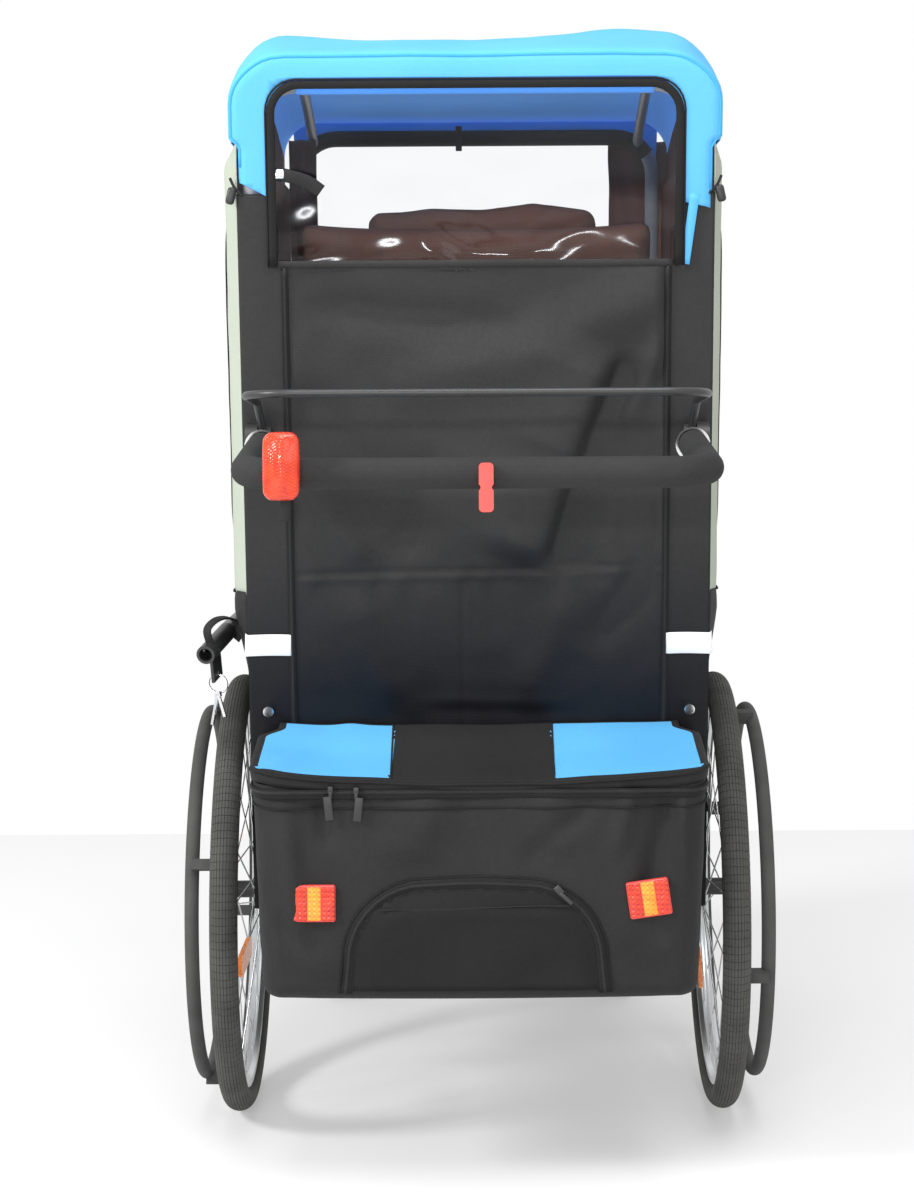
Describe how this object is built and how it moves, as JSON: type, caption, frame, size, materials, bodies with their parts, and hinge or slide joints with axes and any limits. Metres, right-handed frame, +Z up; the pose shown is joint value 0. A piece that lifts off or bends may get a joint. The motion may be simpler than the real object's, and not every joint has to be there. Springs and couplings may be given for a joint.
{
  "type": "bicycle trailer",
  "caption": "Tall fabric-covered bicycle trailer and push-chair on big spoked wheels with hand rims, front casters, push handle, rear bag and swing-out tow arm.",
  "frame": {"origin": "on the ground under the middle of the trailer's box", "axes": "+Y the way it travels, +X to its right seen from behind, +Z up"},
  "size_m": [0.785, 1.4664, 1.5153],
  "materials": {
    "tyre": "block tread rubber",
    "rim_alloy": "satin",
    "hub_black": "gloss",
    "spoke_steel": "bright",
    "hand_rim_black": "satin",
    "amber": "prismatic reflector",
    "axle_steel": "satin",
    "frame_grey": "satin powder coat",
    "black_metal": "satin powder coat",
    "caster_rubber": "matte",
    "caster_plastic": "moulded",
    "black_fabric": "coated weave",
    "grey_fabric": "coated weave",
    "blue_fabric": "coated weave",
    "clear_sheet": "flexible clear sheet",
    "seat_fabric": "padded weave",
    "knuckle_plastic": "moulded",
    "foam": "closed-cell foam",
    "red_plastic": "moulded",
    "lamp_lens": "ribbed lens",
    "chrome": "plated",
    "band": "reflective tape"
  },
  "bodies": {
    "chassis": {"axle_left": "axle_steel", "caster_housing_left": "frame_grey", "side_panel_left": "grey_fabric", "side_window_left": "clear_sheet", "axle_right": "axle_steel", "caster_housing_right": "frame_grey", "side_panel_right": "grey_fabric", "side_window_right": "clear_sheet", "side_rails": "frame_grey", "cross_tubes": "frame_grey", "rear_hoop": "frame_grey", "front_hoop": "frame_grey", "roof_rails": "frame_grey", "tub": "black_fabric", "rear_wall": "black_fabric", "canopy_back": "blue_fabric", "rear_window": "clear_sheet", "roof": "blue_fabric", "seat_legs": "frame_grey", "seat_cushion": "seat_fabric", "seat_back": "seat_fabric", "headrest": "seat_fabric", "handle_knuckles": "knuckle_plastic", "bag_body": "black_fabric", "bag_pocket": "black_fabric", "bag_reflectors": "red_plastic", "wall_knobs": "chrome", "reflective_bands": "band", "tow_bracket": "black_metal"},
    "wheel_left": {"tyre_left": "tyre", "rim_left": "rim_alloy", "hub_left": "hub_black", "spokes_left": "spoke_steel", "hand_rim_left": "hand_rim_black", "spoke_reflectors_left": "amber"},
    "wheel_right": {"tyre_right": "tyre", "rim_right": "rim_alloy", "hub_right": "hub_black", "spokes_right": "spoke_steel", "hand_rim_right": "hand_rim_black", "spoke_reflectors_right": "amber"},
    "caster_left": {"caster_fork_left": "black_metal"},
    "caster_wheel_left": {"caster_tyre_left": "caster_rubber", "caster_core_left": "caster_plastic"},
    "caster_right": {"caster_fork_right": "black_metal"},
    "caster_wheel_right": {"caster_tyre_right": "caster_rubber", "caster_core_right": "caster_plastic"},
    "handle": {"handle_bar": "rim_alloy", "handle_grip": "foam", "brake_bail": "black_metal", "brake_latch": "red_plastic", "rear_lamp": "lamp_lens"},
    "lid": {"bag_lid": "black_fabric"},
    "tow": {"tow_arm": "black_metal", "tow_coupler": "black_metal", "tow_ring": "chrome"}
  },
  "joints": [
    {"name": "wheel_left_spin", "type": "hinge", "parent": "chassis", "child": "wheel_left", "pos_m": [-0.337, -0.02428, 0.305], "axis": [1, 0, 0], "continuous": true},
    {"name": "caster_left_swivel", "type": "hinge", "parent": "chassis", "child": "caster_left", "pos_m": [-0.24, 0.67822, 0.223], "axis": [0, 0, 1], "continuous": true},
    {"name": "caster_left_spin", "type": "hinge", "parent": "caster_left", "child": "caster_wheel_left", "pos_m": [-0.24, 0.63322, 0.1], "axis": [1, 0, 0], "continuous": true},
    {"name": "wheel_right_spin", "type": "hinge", "parent": "chassis", "child": "wheel_right", "pos_m": [0.337, -0.02428, 0.305], "axis": [1, 0, 0], "continuous": true},
    {"name": "caster_right_swivel", "type": "hinge", "parent": "chassis", "child": "caster_right", "pos_m": [0.24, 0.67822, 0.223], "axis": [0, 0, 1], "continuous": true},
    {"name": "caster_right_spin", "type": "hinge", "parent": "caster_right", "child": "caster_wheel_right", "pos_m": [0.24, 0.63322, 0.1], "axis": [1, 0, 0], "continuous": true},
    {"name": "handle_tilt", "type": "hinge", "parent": "chassis", "child": "handle", "pos_m": [0, -0.38042, 0.95], "axis": [-1, 0, 0], "range_deg": [-35, 40]},
    {"name": "lid_lift", "type": "hinge", "parent": "chassis", "child": "lid", "pos_m": [0, -0.27689, 0.5765], "axis": [-1, 0, 0], "range_deg": [0, 70]},
    {"name": "tow_swing", "type": "hinge", "parent": "chassis", "child": "tow", "pos_m": [-0.34, 0.61668, 0.69], "axis": [0, 0, -1], "range_deg": [0, 202]}
  ]
}
